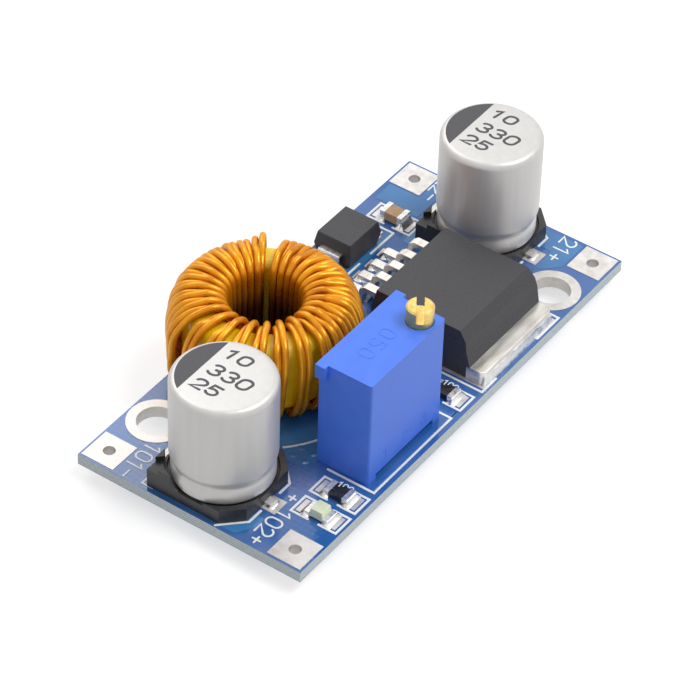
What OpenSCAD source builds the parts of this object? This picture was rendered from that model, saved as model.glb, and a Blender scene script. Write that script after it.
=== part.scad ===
// Step-down (buck) converter module: a small power board that lowers a direct voltage.
// Millimetres. The origin is the middle of the board's underside, +Z goes up through the parts,
// +X points to the input end and +Y to the edge that the toroidal inductor overhangs.

/* [Circuit board] */
// Length of the board, output end to input end
board_l = 43.8; // [43.8:0.1:48]
// Width of the board
board_w = 20.8; // [20.8:0.1:24]
// Thickness of the board with its two coats of solder mask
board_t = 1.0; // [0.8:0.1:1.6]
// Distance between the two mounting holes, along X
mount_spacing_x = 30.9; // [30.5:0.1:31.2]
// Distance between the two mounting holes, along Y
mount_spacing_y = 15.7; // [15.5:0.1:15.9]
// Diameter of a plated mounting hole
mount_hole_d = 3.2; // [2.8:0.1:3.4]
// Spacing of the four wire holes, along X
wire_spacing_x = 40.4; // [40.2:0.1:40.6]
// Spacing of the four wire holes, along Y
wire_spacing_y = 17.4; // [17.2:0.1:17.5]
// Diameter of a plated wire hole
wire_hole_d = 1.0; // [0.8:0.1:1.3]

/* [Electrolytic capacitors] */
// Diameter of an aluminium can
can_d = 8.3; // [8:0.1:8.4]
// Height of a can's top above the board
can_top = 10.45; // [8:0.05:12]
// Width of the square moulded base
base_w = 8.2; // [8:0.1:8.3]

/* [Inductor] */
// Outer diameter of the powdered iron ring
ring_od = 12.7; // [12:0.1:12.8]
// Inner diameter of the ring
ring_id = 7.7; // [7.6:0.1:8]
// Height of the ring
ring_h = 6.35; // [6:0.05:6.4]
// Height of the ring's underside above the board
ring_lift = 0.9; // [0.9:0.05:1.2]
// Diameter of each of the two enamelled wires
wire_d = 0.56; // [0.4:0.02:0.56]

/* [Trimmer] */
// Length of the trimmer's housing
trimmer_l = 9.53; // [9.4:0.01:9.6]
// Width of the housing
trimmer_w = 4.83; // [4.8:0.01:5]
// Height of the housing
trimmer_h = 10.03; // [9.9:0.01:10.2]
// Diameter of the slotted screw head
screw_d = 2.19; // [2.1:0.01:2.2]
// Position of the wiper carriage along its travel, middle at 0
carriage_shift = 0; // [-2.8:0.1:2.8]

/* [Regulator] */
// Width of the regulator's moulded body
regulator_w = 9.9; // [9.7:0.1:10]
// Height of the body
regulator_h = 4.4; // [4.3:0.05:4.6]
// Pitch of its five leads
lead_pitch = 1.7; // [1.6:0.05:1.75]

/* [Hidden] */
$fn = 64;

// Copper, mask and the board's layers
mask_t = 0.03;
land_t = 0.07;
top = board_t;
land_z = top - mask_t;
mount_ring_r = 2.4;
plating = 0.05;

// Where the parts stand on the board
output_cap_at = [-17.38, 0.03];
input_cap_at = [18.05, 0.21];
inductor_at = [-5.6, 4.95];
trimmer_at = [-6.7, -6.65];
regulator_at = [7.63, 0];
diode_at = [9.8, 8.05];
ceramic_at = [15.05, 7.05];
led_resistor_at = [-13.58, -7.98];
led_at = [-16.12, -8.05];
feedback_at = [0.45, -7.9];

// ---------------------------------------------------------------- shared shapes

// A rectangle with round corners, made of squares and true circles
module round_rect(size, r) {
    square([size[0] - 2 * r, size[1]], center = true);
    square([size[0], size[1] - 2 * r], center = true);
    for (x = [-1, 1], y = [-1, 1])
        translate([x * (size[0] / 2 - r), y * (size[1] / 2 - r)]) circle(r);
}

// Lays a profile drawn in X and Z along Y, centred
module along_y(depth) {
    translate([0, depth / 2, 0]) rotate([90, 0, 0]) linear_extrude(depth) children();
}

// Lays a profile drawn in Y and Z along X, centred
module along_x(width) {
    translate([-width / 2, 0, 0]) rotate([90, 0, 90]) linear_extrude(width) children();
}

// Points of an arc, from one angle to another, with its ends
function arc(centre, r, from, to, steps) =
    [for (i = [0 : steps]) centre + r * [cos(from + (to - from) * i / steps), sin(from + (to - from) * i / steps)]];

// ---------------------------------------------------------------- board

wire_holes = [for (x = [-1, 1], y = [-1, 1]) [x * wire_spacing_x / 2, y * wire_spacing_y / 2]];
mount_holes = [[-mount_spacing_x / 2, mount_spacing_y / 2], [mount_spacing_x / 2, -mount_spacing_y / 2]];
terminal_size = [3, 3];
pin_pitch = 2.54;
pin_hole_r = 0.45;
pin_land_r = 0.85;
tail_hole_r = 0.62;
tail_land_r = 1.05;
tail_holes = [[2.25, 6.8], [1.2, 9.2]];
pin_holes = [for (i = [-1 : 1]) [trimmer_at[0] + i * pin_pitch, trimmer_at[1]]];

// Land sizes: a chip's two ends lie along Y
chip_land_size = [1.4, 1.15];
chip_land_gap = 2.45;
function chip_lands(at) = [for (s = [-1, 1]) [at[0], at[1] + s * chip_land_gap / 2, chip_land_size[0], chip_land_size[1]]];
function cap_lands(at) = [for (s = [-1, 1]) [at[0], at[1] + s * 3.85, 1.6, 3]];
lead_land_y = 4.35;
lead_xs = [for (i = [-2 : 2]) regulator_at[0] + i * lead_pitch];
surface_lands = concat(
    cap_lands(output_cap_at), cap_lands(input_cap_at),
    chip_lands(ceramic_at), chip_lands(led_at), chip_lands(led_resistor_at), chip_lands(feedback_at),
    [for (x = lead_xs) [x, lead_land_y, 1.05, 2.7]],
    [[regulator_at[0], -6.4, 10.1, 7.2]],
    [for (s = [-1, 1]) [diode_at[0] + s * 2.35, diode_at[1], 2, 2.3]]);

module surface_land_shapes() {
    for (l = surface_lands) translate([l[0], l[1]]) square([l[2], l[3]], center = true);
}

module through_land_shapes() {
    for (p = wire_holes) translate(p) square(terminal_size, center = true);
    for (p = mount_holes) translate(p) circle(mount_ring_r);
    for (p = pin_holes) translate(p) circle(pin_land_r);
    for (p = tail_holes) translate(p) circle(tail_land_r);
}

module board_laminate() {
    color([0.62, 0.72, 0.72]) translate([0, 0, mask_t]) linear_extrude(board_t - 2 * mask_t) difference() {
        square([board_l, board_w], center = true);
        for (p = wire_holes) translate(p) circle(wire_hole_d / 2 + plating);
        for (p = mount_holes) translate(p) circle(mount_hole_d / 2 + plating);
        for (p = pin_holes) translate(p) circle(pin_hole_r + plating);
        for (p = tail_holes) translate(p) circle(tail_hole_r + plating);
    }
}

module solder_mask_top() {
    color([0.16, 0.42, 0.68]) translate([0, 0, board_t - mask_t]) linear_extrude(mask_t) difference() {
        square([board_l, board_w], center = true);
        surface_land_shapes();
        through_land_shapes();
    }
}

module solder_mask_bottom() {
    color([0.16, 0.42, 0.68]) linear_extrude(mask_t) difference() {
        square([board_l, board_w], center = true);
        through_land_shapes();
    }
}

// A plated through hole: a land on each side, joined by the plating of the hole
module plated_hole(hole_r) {
    for (z = [mask_t - land_t, board_t - mask_t])
        translate([0, 0, z]) linear_extrude(land_t) difference() {
            children();
            circle(hole_r);
        }
    translate([0, 0, mask_t]) linear_extrude(board_t - 2 * mask_t) difference() {
        circle(hole_r + plating);
        circle(hole_r);
    }
}

module terminal(index) {
    color([0.88, 0.87, 0.84]) translate(wire_holes[index]) plated_hole(wire_hole_d / 2)
        square(terminal_size, center = true);
}

module output_minus_terminal() { terminal(1); }
module output_plus_terminal() { terminal(0); }
module input_minus_terminal() { terminal(3); }
module input_plus_terminal() { terminal(2); }

module mounting_ring(index) {
    color([0.9, 0.89, 0.87]) translate(mount_holes[index]) plated_hole(mount_hole_d / 2) circle(mount_ring_r);
}

module output_mounting_ring() { mounting_ring(0); }
module input_mounting_ring() { mounting_ring(1); }

module component_lands() {
    color([0.86, 0.85, 0.82]) translate([0, 0, land_z]) linear_extrude(land_t) surface_land_shapes();
}

module pin_barrels() {
    color([0.86, 0.85, 0.82]) {
        for (p = pin_holes) translate(p) plated_hole(pin_hole_r) circle(pin_land_r);
        for (p = tail_holes) translate(p) plated_hole(tail_hole_r) circle(tail_land_r);
    }
}

// ---------------------------------------------------------------- electrolytic capacitors

can_seat = 1.0;
base_t = 1.3;
base_post = 2.2;
base_chamfer = 1.5;
can_r = can_d / 2;
lead_z = top - mask_t + land_t;
lead_strip = [0.8, 0.25];

// Half section of the can: crimped foot, rolled groove, straight wall, rounded shoulder
can_profile = concat(
    [[0, can_seat], [can_r - 0.75, can_seat]],
    arc([can_r - 0.5, can_seat + 0.35], 0.35, -90, 0, 5),
    [[can_r - 0.15, can_seat + 1.05]],
    arc([can_r + 0.18, can_seat + 1.55], 0.5, 205, 155, 5),
    [[can_r - 0.1, can_seat + 2.1], [can_r, can_seat + 2.45]],
    arc([can_r - 0.55, can_top - 0.55], 0.55, 0, 90, 8),
    [[0, can_top]]);

module capacitor_can(at) {
    color([0.83, 0.82, 0.81]) translate([at[0], at[1], top]) rotate_extrude($fn = 96) polygon(can_profile);
}

// Base outline: square, with the two corners at the positive lead cut off
module base_outline() {
    h = base_w / 2;
    polygon([[-h, h], [-h, -h + base_chamfer], [-h + base_chamfer, -h],
        [h - base_chamfer, -h], [h, -h + base_chamfer], [h, h]]);
}

// One of the two strips that come out flat under the base; side is -1 or 1
module capacitor_strip(side) {
    translate([-lead_strip[0] / 2, side > 0 ? 1.2 : -base_w / 2 - 0.65, 0])
        cube([lead_strip[0], base_w / 2 + 0.65 - 1.2, lead_strip[1]]);
}

module capacitor_base(at) {
    color([0.16, 0.16, 0.17]) translate([at[0], at[1], lead_z]) difference() {
        union() {
            linear_extrude(base_t - (lead_z - top)) base_outline();
            linear_extrude(base_post - (lead_z - top)) difference() {
                intersection() {
                    base_outline();
                    for (s = [-1, 1]) translate([s * base_w / 2, base_w / 2]) square(4.4, center = true);
                }
                circle(can_r + 0.32);
            }
        }
        translate([0, 0, can_seat - (lead_z - top)]) cylinder(r = can_r + 0.1, h = 3);
        for (s = [-1, 1]) capacitor_strip(s);
        // Top outer edge of each corner post is bevelled
        for (s = [-1, 1]) translate([s * base_w / 2, base_w / 2, base_post - (lead_z - top)])
            rotate([0, 0, 45]) cube([1.5, 3, 0.9], center = true);
    }
}

module capacitor_leads(at) {
    color([0.86, 0.85, 0.82]) translate([at[0], at[1], lead_z]) for (s = [-1, 1]) capacitor_strip(s);
}

module output_capacitor_can() { capacitor_can(output_cap_at); }
module output_capacitor_base() { capacitor_base(output_cap_at); }
module output_capacitor_leads() { capacitor_leads(output_cap_at); }
module input_capacitor_can() { capacitor_can(input_cap_at); }
module input_capacitor_base() { capacitor_base(input_cap_at); }
module input_capacitor_leads() { capacitor_leads(input_cap_at); }

// ---------------------------------------------------------------- inductor

ring_ro = ring_od / 2;
ring_ri = ring_id / 2;
ring_z = top + ring_lift;
outer_round = 0.9;
inner_round = 0.6;
wire_gap = 0.05;
wire_off = wire_d / 2 + wire_gap;
bulge = 0.62;
sides = 6;

module inductor_core() {
    color([0.96, 0.86, 0.18]) translate([inductor_at[0], inductor_at[1], ring_z]) rotate_extrude($fn = 96)
        polygon(concat(
            arc([ring_ro - outer_round, outer_round], outer_round, -90, 0, 6),
            arc([ring_ro - outer_round, ring_h - outer_round], outer_round, 0, 90, 6),
            arc([ring_ri + inner_round, ring_h - inner_round], inner_round, 90, 180, 4),
            arc([ring_ri + inner_round, inner_round], inner_round, 180, 270, 4)));
}

// The winding: two wires side by side, 29 turns. It is close-wound round most of the ring and
// spread out over the sector from spread_from to spread_to.
turns = 29;
wind_from = 36;
spread_from = 148;
spread_to = 257;
close_step = 10.9;
spread_turns = 7;
spread_step = (spread_to - spread_from) / spread_turns;
first_turns = (spread_from - wind_from) / close_step;

// Angle round the ring after t turns
function wind_angle(t) =
    t < first_turns ? wind_from + t * close_step :
    t < first_turns + spread_turns ? spread_from + (t - first_turns) * spread_step :
    spread_to + (t - first_turns - spread_turns) * close_step;

// Angle between the two wires of a turn, at a radius
pair_angle = 4.9;
pair_spread = 0.55;
function second_angle(r) = pair_angle + pair_spread * (ring_ro - r) / (ring_ro - ring_ri);

// One turn as stations [radius, height], from the foot of the outer leg, up and over the ring
zi = -wire_off;
zo = ring_h + wire_off;
ring_rm = (ring_ro + ring_ri) / 2;
turn_path = [
    [ring_ro + wire_off + bulge * 0.62, 1.1], [ring_ro + wire_off + bulge, ring_h * 0.5],
    [ring_ro + wire_off + bulge * 0.62, ring_h - 1], [ring_ro - 0.05, zo - 0.12],
    [ring_rm, zo + 0.06], [ring_ri + 0.5, zo],
    [ring_ri - 0.22, zo - 0.42], [ring_ri - wire_off, ring_h - 1.3],
    [ring_ri - wire_off, 1.3], [ring_ri - 0.22, zi + 0.42],
    [ring_ri + 0.5, zi], [ring_rm, zi - 0.02], [ring_ro - 0.05, zi + 0.12]];
stations = len(turn_path);

// Shift of the second wire: beside the first outside the ring, a layer further in inside it
second_shift = [[0, 0], [0, 0], [0, 0], [0, 0.03], [0, 0.24], [0, 0.38], [-0.32, 0.26],
    [-0.46, 0], [-0.46, 0], [-0.42, -0.2], [0, -0.29], [0, -0.22], [0, -0.03]];

// One turn stands off the ring's side, and the first one rises in a loop at the ring's shoulder
loose_at = 149;
loose_by = 0.5;
rise_at = 39;
rise_by = 0.6;
function near(a, at, width) = exp(-pow((a - at) / width, 2));
function slack(i, a) = i < 3 ? [loose_by * near(a, loose_at, 5), 0] :
    i < 5 ? [0, rise_by * near(a, rise_at, 4)] : [0, 0];

function wire_point(n, second) = let (
    i = n % stations,
    p = turn_path[i] + second * second_shift[i],
    a = wind_angle(n / stations) + second * second_angle(turn_path[i][0]),
    q = p + slack(i, a))
    [inductor_at[0] + q[0] * cos(a), inductor_at[1] + q[0] * sin(a), ring_z + q[1]];

// Side direction of the wire's section, along the ring
function wire_side(n, second) = let (
    a = wind_angle(n / stations) + second * second_angle(turn_path[n % stations][0]))
    [-sin(a), cos(a), 0];

// The ends run from the outer leg down through a plated hole each, side by side
tail_tip = -1;
tail_bend = 0.35;
tail_side = (wire_d / 2 + 0.01) * [-0.55, 0.835, 0];
function tail_points(hole, second) = let (
    p = [hole[0], hole[1], 0] + (second * 2 - 1) * tail_side)
    [p + [0, 0, tail_tip], p + [0, 0, top + tail_bend]];

wire_last = turns * stations;
function wire_points(second) = let (last = tail_points(tail_holes[0], second)) concat(
    tail_points(tail_holes[1], second),
    [for (n = [0 : wire_last]) wire_point(n, second)],
    [last[1], last[0]]);
function wire_sides(second) = concat(
    [for (i = [0 : 1]) tail_side],
    [for (n = [0 : wire_last]) wire_side(n, second)],
    [for (i = [0 : 1]) tail_side]);

function unit(v) = v / norm(v);
function tangent(p, i) = unit(unit(p[min(i + 1, len(p) - 1)] - p[i == len(p) - 1 ? i - 1 : i])
    + unit(p[i == 0 ? 1 : i] - p[max(i - 1, 0)]));

// Sweeps a round section along the points, with one side direction for each
module swept_wire(points, side_dirs, r) {
    rings = [for (i = [0 : len(points) - 1]) let (
        t = tangent(points, i),
        n = unit(cross(t, side_dirs[i])),
        b = cross(n, t))
        for (k = [0 : sides - 1]) points[i] + r * (cos(k * 360 / sides) * b + sin(k * 360 / sides) * n)];
    last = len(points) - 1;
    skin = [for (i = [0 : last - 1], k = [0 : sides - 1]) let (
        a = i * sides + k,
        c = i * sides + (k + 1) % sides)
        each [[a, a + sides, c], [c, a + sides, c + sides]]];
    polyhedron(rings, concat(skin,
        [[for (k = [0 : sides - 1]) k]],
        [[for (k = [sides - 1 : -1 : 0]) last * sides + k]]));
}

module inductor_wire_a() {
    color([0.85, 0.48, 0.13]) swept_wire(wire_points(0), wire_sides(0), wire_d / 2);
}

module inductor_wire_b() {
    color([0.85, 0.48, 0.13]) swept_wire(wire_points(1), wire_sides(1), wire_d / 2);
}

// Solder in a plated hole, with a cone round the pin under the board
module hole_solder(hole_r, land_r, cone_r, cone_h) {
    rotate_extrude() polygon([[0, -cone_h], [cone_r, -cone_h], [cone_r + (land_r - cone_r) * 0.45, -cone_h * 0.45],
        [land_r - 0.06, mask_t - land_t], [hole_r, mask_t - land_t], [hole_r, top + land_t - mask_t], [0, top + land_t - mask_t]]);
}

module inductor_solder() {
    color([0.82, 0.82, 0.8]) for (h = tail_holes) translate(h) difference() {
        hole_solder(tail_hole_r, tail_land_r, 0.6, 0.75);
        for (s = [-1, 1]) translate(s * tail_side + [0, 0, -2]) cylinder(r = wire_d / 2 + 0.01, h = 5);
    }
}

// ---------------------------------------------------------------- trimmer

screw_at = [3.45, -0.98];
wall = 0.465;
foot_h = 0.45;
foot_l = 1.0;
seal_top = 1.3;
ceiling = 8.6;
ledge = 9.0;
screw_top = 11.55;
thread_r = 0.6;
running = 0.035;
pin_r = 0.25;
element_y = [1.3, 1.95];
carriage_mid = 4.95;
carriage_h = 1.3;

module on_trimmer() { translate([trimmer_at[0], trimmer_at[1], top]) children(); }

module trimmer_housing() {
    color([0.3, 0.5, 0.95]) on_trimmer() difference() {
        union() {
            linear_extrude(trimmer_h) round_rect([trimmer_l, trimmer_w], 0.2);
            // Small moulded ears at the two back corners of the top
            translate([0, trimmer_w / 2 - 0.45, trimmer_h - 1.25]) linear_extrude(1.25)
                square([trimmer_l + 0.9, 0.9], center = true);
        }
        // The open span between the two feet
        translate([0, 0, -1]) linear_extrude(1 + foot_h)
            square([trimmer_l - 2 * foot_l, trimmer_w + 2], center = true);
        // Working chamber, open below until the base seal closes it
        translate([0, 0, foot_h - 1]) linear_extrude(ceiling - foot_h + 1)
            square([trimmer_l - 2 * wall, trimmer_w - 2 * wall], center = true);
        translate([screw_at[0], screw_at[1], ledge]) cylinder(r = screw_d / 2 + running, h = 3);
        translate([screw_at[0], screw_at[1], ceiling - 1]) cylinder(r = thread_r + running, h = 3);
    }
}

// A pin: round leg through the board, a step inside the base seal and a tab on the element's face
module trimmer_pin() {
    translate([0, 0, -top - 1.05]) cylinder(r = pin_r, h = top + 1.05 + 0.95);
    translate([-pin_r, -pin_r, 0.8]) cube([2 * pin_r, element_y[0] + pin_r, 0.25]);
    translate([-pin_r, element_y[0] - 0.25, 0.8]) cube([2 * pin_r, 0.25, 1.5]);
}

module trimmer_pins() {
    color([0.86, 0.85, 0.82]) on_trimmer() for (i = [-1 : 1]) translate([i * pin_pitch, 0, 0]) trimmer_pin();
}

// Resin that closes the housing from below, with the blind socket of the screw's end
module trimmer_base_seal() {
    color([0.75, 0.72, 0.6]) on_trimmer() difference() {
        translate([0, 0, foot_h]) linear_extrude(seal_top - foot_h)
            square([trimmer_l - 2 * wall, trimmer_w - 2 * wall], center = true);
        for (i = [-1 : 1]) translate([i * pin_pitch, 0, 0]) trimmer_pin();
        translate([screw_at[0], screw_at[1], seal_top - 0.5]) cylinder(r = 0.33, h = 2);
    }
}

// Lead screw: slotted head, groove for the sealing ring, threaded shank and end pivot
module trimmer_screw() {
    r = screw_d / 2;
    color([0.83, 0.68, 0.33]) on_trimmer() translate([screw_at[0], screw_at[1], 0]) difference() {
        rotate_extrude() polygon([[0, 0.85], [0.3, 0.85], [0.3, seal_top + 0.04], [thread_r, seal_top + 0.3],
            [thread_r, ledge + 0.02], [r, ledge + 0.02], [r, 9.36], [r - 0.27, 9.36], [r - 0.27, 9.66],
            [r, 9.66], [r, screw_top - 0.14], [r - 0.14, screw_top], [0, screw_top]]);
        rotate([0, 0, 34]) translate([0, 0, screw_top - 0.4]) cube([3, 0.62, 0.8 + 0.4], center = true);
    }
}

module trimmer_screw_seal() {
    color([0.12, 0.12, 0.12]) on_trimmer() translate([screw_at[0], screw_at[1], 9.51])
        rotate_extrude() translate([screw_d / 2 - 0.13, 0]) circle(0.13, $fn = 24);
}

module on_carriage() { on_trimmer() translate([0, 0, carriage_mid + carriage_shift]) children(); }

// Moulded nut that climbs the screw and is kept from turning by the chamber's walls
module trimmer_carriage() {
    color([0.92, 0.9, 0.84]) on_carriage() difference() {
        translate([2.62, -1.87, -carriage_h / 2]) cube([1.6, 1.72, carriage_h]);
        translate([screw_at[0], screw_at[1], -2]) cylinder(r = thread_r + running, h = 4);
        translate([2.5, -2, carriage_h / 2 - 0.25]) cube([0.35, 2, 1]);
    }
}

// Sprung contact: a plate on the carriage with two fingers that bear on the element
module trimmer_wiper() {
    color([0.85, 0.6, 0.35]) on_carriage() {
        translate([2.75, -0.15, -0.55]) cube([1.4, 0.12, 1.1]);
        for (x = [3.12, 3.82]) translate([x, 0, 0]) along_x(0.34)
            polygon([[-0.03, -0.55], [1.0, 0.1], [1.15, 0.35], [1.24, 0.5], [1.14, 0.53], [1.05, 0.38], [0.9, 0.2], [-0.03, -0.38]]);
    }
}

module trimmer_element() {
    color([0.95, 0.95, 0.93]) on_trimmer() translate([-4.1, element_y[0], 1.35])
        cube([8.3, element_y[1] - element_y[0], 7.15]);
}

// Printed on the element: the resistive stripe, the collector stripe and their runs to the pins
module trimmer_track() {
    color([0.2, 0.2, 0.22]) on_trimmer() translate([0, element_y[0], 0]) rotate([90, 0, 0]) linear_extrude(0.03) {
        translate([2.95, 1.9]) square([0.34, 6.3]);
        translate([-2.7, 8.2]) square([5.99, 0.3]);
        translate([-2.7, 2.3]) square([0.3, 5.95]);
        translate([3.65, 1.9]) square([0.34, 6.3]);
    }
}

module trimmer_solder() {
    color([0.82, 0.82, 0.8]) for (p = pin_holes) translate(p) difference() {
        hole_solder(pin_hole_r, pin_land_r, pin_r + 0.12, 0.7);
        translate([0, 0, -2]) cylinder(r = pin_r, h = 5);
    }
}

// ---------------------------------------------------------------- regulator

// Side view of the body: parting line, drafted flanks and the bevel above the tab
reg_foot = lead_z - top;
reg_front = -8.55;
reg_back = 0.75;
parting = 2.75;
tab_t = 1.27;
tab_front = -9.85;
body_side = [[reg_front + 0.05, reg_foot], [reg_front, reg_foot + tab_t], [reg_front + 0.5, regulator_h - 0.85],
    [reg_front + 1.15, regulator_h], [reg_back - 0.3, regulator_h], [reg_back, parting], [reg_back - 0.22, reg_foot]];

module on_regulator() { translate([regulator_at[0], regulator_at[1], top]) children(); }

// Exposed end of the heat-spreading tab, with a step on each side where the resin grips it
module tab_shape() {
    translate([0, 0, reg_foot]) linear_extrude(tab_t) difference() {
        union() {
            translate([-4.2, -8.6]) square([8.4, 7.4]);
            translate([-4.85, tab_front]) square([9.7, reg_front + 0.35 - tab_front]);
        }
        for (s = [-1, 1]) translate([s * 4.85, tab_front]) rotate([0, 0, 45]) square(0.5, center = true);
    }
}

// Profile of one gull-wing lead in Y and Z: out of the body, down, and a flat foot
lead_t = 0.5;
lead_profile = [[reg_back - 0.35, 2.55], [2.05, 2.55], [2.3, 2.35], [2.75, 0.45], [3.05, reg_foot],
    [5.15, reg_foot], [5.15, reg_foot + 0.5], [3.4, reg_foot + 0.5], [3.2, 0.75], [2.7, 2.75], [2.3, 3.05],
    [reg_back - 0.35, 3.05]];

module lead_shapes() {
    for (i = [-2 : 2]) translate([i * lead_pitch, 0, 0]) along_x(0.8) polygon(lead_profile);
}

module regulator_body() {
    h = regulator_w / 2;
    color([0.17, 0.17, 0.18]) on_regulator() difference() {
        intersection() {
            along_x(12) polygon(body_side);
            translate([0, -4, 0]) along_y(12) polygon([[-h + 0.18, reg_foot], [-h, parting],
                [-h + 0.25, regulator_h], [h - 0.25, regulator_h], [h, parting], [h - 0.18, reg_foot]]);
        }
        tab_shape();
        lead_shapes();
    }
}

module regulator_tab() { color([0.84, 0.83, 0.8]) on_regulator() tab_shape(); }
module regulator_leads() { color([0.84, 0.83, 0.8]) on_regulator() lead_shapes(); }

// Solder that rises against the five lead tips and the tab's front edge
module regulator_solder() {
    color([0.82, 0.82, 0.8]) on_regulator() {
        for (i = [-2 : 2]) translate([i * lead_pitch, 0, 0]) along_x(0.86)
            polygon([[5.15, reg_foot], [5.6, reg_foot], [5.35, reg_foot + 0.14], [5.15, reg_foot + 0.38]]);
        along_x(9) polygon([[tab_front, reg_foot], [tab_front - 0.13, reg_foot], [tab_front - 0.06, reg_foot + 0.3],
            [tab_front, reg_foot + 0.75]]);
    }
}

// ---------------------------------------------------------------- rectifier diode

diode_l = 4.3;
diode_w = 3.6;
diode_h = 2.35;
diode_foot = lead_z - top + 0.02;
diode_part = 1.25;

module on_diode() { translate([diode_at[0], diode_at[1], top]) children(); }

// One folded terminal in X and Z: out of the body's end, down, and back under it
module diode_terminal() {
    along_y(2.05) polygon([[1.75, diode_part - 0.1], [2.5, diode_part - 0.1], [2.5, diode_foot + 0.22],
        [1.35, diode_foot + 0.22], [1.35, lead_z - top], [2.74, lead_z - top], [2.74, diode_part - 0.25],
        [2.62, diode_part + 0.12], [1.75, diode_part + 0.12]]);
}

module diode_terminals() {
    color([0.86, 0.85, 0.82]) on_diode() for (m = [0, 1]) mirror([m, 0, 0]) diode_terminal();
}

module diode_body() {
    l = diode_l / 2;
    w = diode_w / 2;
    color([0.2, 0.2, 0.2]) on_diode() difference() {
        intersection() {
            along_y(6) polygon([[-l + 0.22, diode_foot], [-l, diode_part], [-l + 0.22, diode_h],
                [l - 0.22, diode_h], [l, diode_part], [l - 0.22, diode_foot]]);
            along_x(6) polygon([[-w + 0.2, diode_foot], [-w, diode_part], [-w + 0.2, diode_h],
                [w - 0.2, diode_h], [w, diode_part], [w - 0.2, diode_foot]]);
        }
        for (m = [0, 1]) mirror([m, 0, 0]) diode_terminal();
    }
}

module diode_solder() {
    color([0.82, 0.82, 0.8]) on_diode() for (m = [0, 1]) mirror([m, 0, 0]) along_y(2.1)
        polygon([[2.74, lead_z - top], [3.25, lead_z - top], [2.95, lead_z - top + 0.15], [2.74, lead_z - top + 0.7]]);
}

// ---------------------------------------------------------------- chip parts

chip_l = 2.0;
chip_w = 1.25;
chip_end = 0.4;
cap_skin = 0.04;

// Metal ends of a chip part that lies along Y; they wrap its end faces and edges
module chip_ends(at, h) {
    color([0.86, 0.85, 0.83]) translate([at[0], at[1], lead_z]) difference() {
        for (s = [-1, 1]) translate([-chip_w / 2 - cap_skin, s * (chip_l / 2 - chip_end / 2) - chip_end / 2 + (s < 0 ? -cap_skin : 0), 0])
            cube([chip_w + 2 * cap_skin, chip_end + cap_skin, h + 2 * cap_skin]);
        translate([-chip_w / 2, -chip_l / 2, cap_skin]) cube([chip_w, chip_l, h]);
    }
}

module chip_body(at, h) {
    translate([at[0] - chip_w / 2, at[1] - chip_l / 2, lead_z + cap_skin]) cube([chip_w, chip_l, h]);
}

module ceramic_capacitor_body() { color([0.72, 0.6, 0.45]) chip_body(ceramic_at, 0.85); }
module ceramic_capacitor_ends() { chip_ends(ceramic_at, 0.85); }
module led_resistor_body() { color([0.13, 0.13, 0.13]) chip_body(led_resistor_at, 0.45); }
module led_resistor_ends() { chip_ends(led_resistor_at, 0.45); }
module feedback_resistor_body() { color([0.13, 0.13, 0.13]) chip_body(feedback_at, 0.45); }
module feedback_resistor_ends() { chip_ends(feedback_at, 0.45); }

// The indicator: a thin laminate base with metal ends and a clear moulded lens on it
led_base_h = 0.3;
lens_h = 0.5;
module indicator_led_base() { color([0.9, 0.9, 0.82]) chip_body(led_at, led_base_h); }
module indicator_led_ends() { chip_ends(led_at, led_base_h); }
module indicator_led_lens() {
    z = lead_z + cap_skin + led_base_h;
    color([0.82, 0.9, 0.72]) translate([led_at[0], led_at[1], z]) intersection() {
        along_x(chip_w) polygon([[-0.6, 0], [-0.52, lens_h], [0.52, lens_h], [0.6, 0]]);
        along_y(chip_l) polygon([[-chip_w / 2, 0], [-chip_w / 2 + 0.04, lens_h], [chip_w / 2 - 0.04, lens_h], [chip_w / 2, 0]]);
    }
}

// Solder against the ends of the four chip parts and the tips of the capacitors' strips
module chip_solder() {
    color([0.82, 0.82, 0.8]) {
        for (c = [[ceramic_at, 0.6], [led_at, 0.28], [led_resistor_at, 0.35], [feedback_at, 0.35]], m = [0, 1])
            translate([c[0][0], c[0][1], lead_z]) mirror([0, m, 0]) along_x(chip_w + 2 * cap_skin)
                polygon([[chip_l / 2 + cap_skin, 0], [chip_l / 2 + cap_skin + 0.5, 0],
                    [chip_l / 2 + cap_skin + 0.18, c[1] * 0.35], [chip_l / 2 + cap_skin, c[1]]]);
        for (at = [output_cap_at, input_cap_at], m = [0, 1])
            translate([at[0], at[1], lead_z]) mirror([0, m, 0]) along_x(lead_strip[0])
                polygon([[base_w / 2 + 0.65, 0], [base_w / 2 + 0.95, 0], [base_w / 2 + 0.65, 0.2]]);
    }
}

board_laminate();
solder_mask_top();
solder_mask_bottom();
output_minus_terminal();
output_plus_terminal();
input_minus_terminal();
input_plus_terminal();
output_mounting_ring();
input_mounting_ring();
component_lands();
pin_barrels();
output_capacitor_can();
output_capacitor_base();
output_capacitor_leads();
input_capacitor_can();
input_capacitor_base();
input_capacitor_leads();
inductor_core();
inductor_wire_a();
inductor_wire_b();
inductor_solder();
trimmer_housing();
trimmer_base_seal();
trimmer_screw();
trimmer_screw_seal();
trimmer_carriage();
trimmer_wiper();
trimmer_element();
trimmer_track();
trimmer_pins();
trimmer_solder();
regulator_body();
regulator_tab();
regulator_leads();
regulator_solder();
diode_body();
diode_terminals();
diode_solder();
ceramic_capacitor_body();
ceramic_capacitor_ends();
indicator_led_base();
indicator_led_lens();
indicator_led_ends();
led_resistor_body();
led_resistor_ends();
feedback_resistor_body();
feedback_resistor_ends();
chip_solder();
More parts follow.
